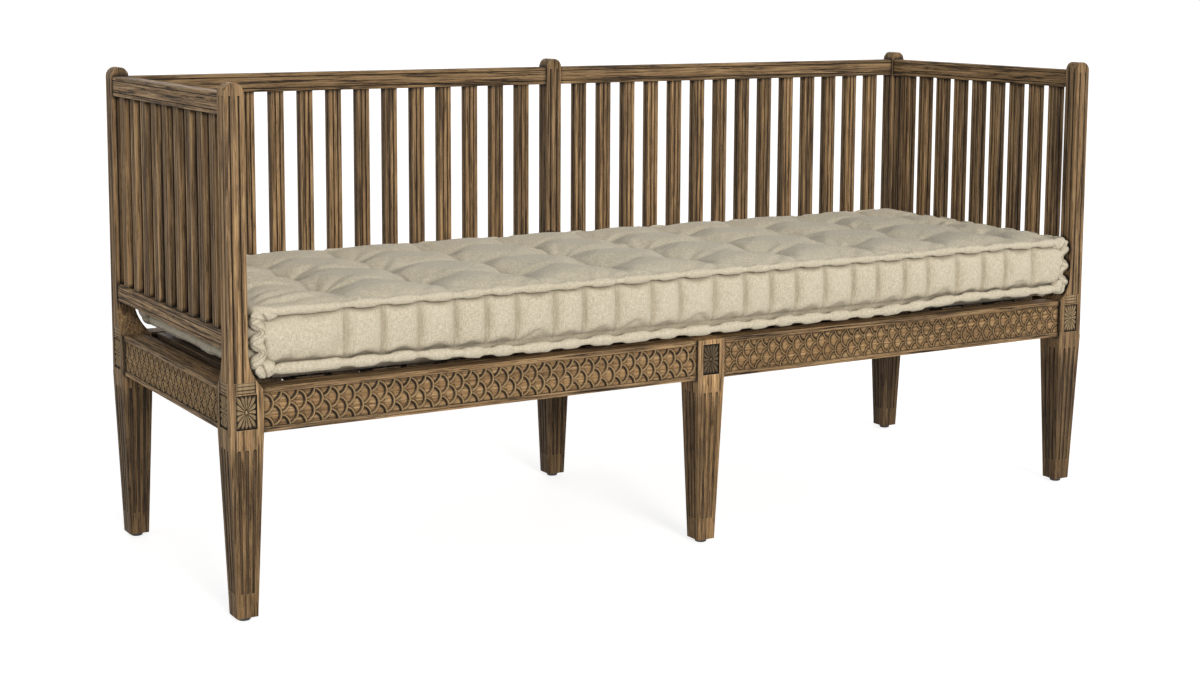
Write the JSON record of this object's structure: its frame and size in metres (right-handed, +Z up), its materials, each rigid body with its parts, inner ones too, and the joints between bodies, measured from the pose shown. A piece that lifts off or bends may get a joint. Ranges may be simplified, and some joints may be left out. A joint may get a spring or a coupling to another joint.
{
  "type": "pull-out bench bed",
  "caption": "Slatted wooden bench with reeded posts, fish-scale carved seat rails and a linen mattress, whose front rail and half the deck slats pull forward into a bed.",
  "frame": {"origin": "on the floor, below the middle of the bench closed", "axes": "+X along the bench, to the right seen from the front; +Y from the front to the back; +Z up"},
  "size_m": [2, 0.67, 0.9479],
  "materials": {
    "carved_wood": "distressed, scrubbed brown wood with dark recesses, matt",
    "slat_wood": "distressed brown wood, matt",
    "deck_wood": "sawn pale pine, unfinished",
    "screw_steel": "dull zinc",
    "glide": "dark, matt",
    "linen": "oatmeal linen, hand-stitched and tufted"
  },
  "bodies": {
    "frame": {"back_left_post": "carved_wood", "back_lower_rail_left": "carved_wood", "back_lower_rail_right": "carved_wood", "back_middle_post": "carved_wood", "back_right_post": "carved_wood", "back_seat_rail_left": "carved_wood", "back_seat_rail_right": "carved_wood", "back_slats_left": "slat_wood", "back_slats_right": "slat_wood", "back_top_rail_left": "carved_wood", "back_top_rail_right": "carved_wood", "fixed_cleat": "deck_wood", "fixed_crossbar": "deck_wood", "fixed_deck_screws": "screw_steel", "fixed_deck_slats": "deck_wood", "fixed_glides": "glide", "front_left_post": "carved_wood", "front_right_post": "carved_wood", "ledger_left": "deck_wood", "ledger_right": "deck_wood", "side_lower_rail_left": "carved_wood", "side_lower_rail_right": "carved_wood", "side_seat_rail_left": "carved_wood", "side_seat_rail_right": "carved_wood", "side_slat_left_1": "slat_wood", "side_slat_left_2": "slat_wood", "side_slat_left_3": "slat_wood", "side_slat_left_4": "slat_wood", "side_slat_left_5": "slat_wood", "side_slat_left_6": "slat_wood", "side_slat_left_7": "slat_wood", "side_slat_left_8": "slat_wood", "side_slat_left_9": "slat_wood", "side_slat_right_1": "slat_wood", "side_slat_right_2": "slat_wood", "side_slat_right_3": "slat_wood", "side_slat_right_4": "slat_wood", "side_slat_right_5": "slat_wood", "side_slat_right_6": "slat_wood", "side_slat_right_7": "slat_wood", "side_slat_right_8": "slat_wood", "side_slat_right_9": "slat_wood", "side_top_rail_left": "carved_wood", "side_top_rail_right": "carved_wood"},
    "pull_out": {"front_rail_left": "carved_wood", "front_rail_right": "carved_wood", "front_middle_leg": "carved_wood", "front_middle_glide": "glide", "runner_left": "deck_wood", "runner_right": "deck_wood", "sliding_cleat": "deck_wood", "sliding_crossbar": "deck_wood", "sliding_deck_screws": "screw_steel", "sliding_deck_slats": "deck_wood"},
    "mattress": {"mattress": "linen"}
  },
  "joints": [
    {"name": "pull_out_slide", "type": "slide", "parent": "frame", "child": "pull_out", "axis": [0, -1, 0], "range_m": [0, 0.414]},
    {"name": "mattress_lift", "type": "slide", "parent": "frame", "child": "mattress", "axis": [0, 0, 1], "range_m": [0, 0.3]}
  ]
}
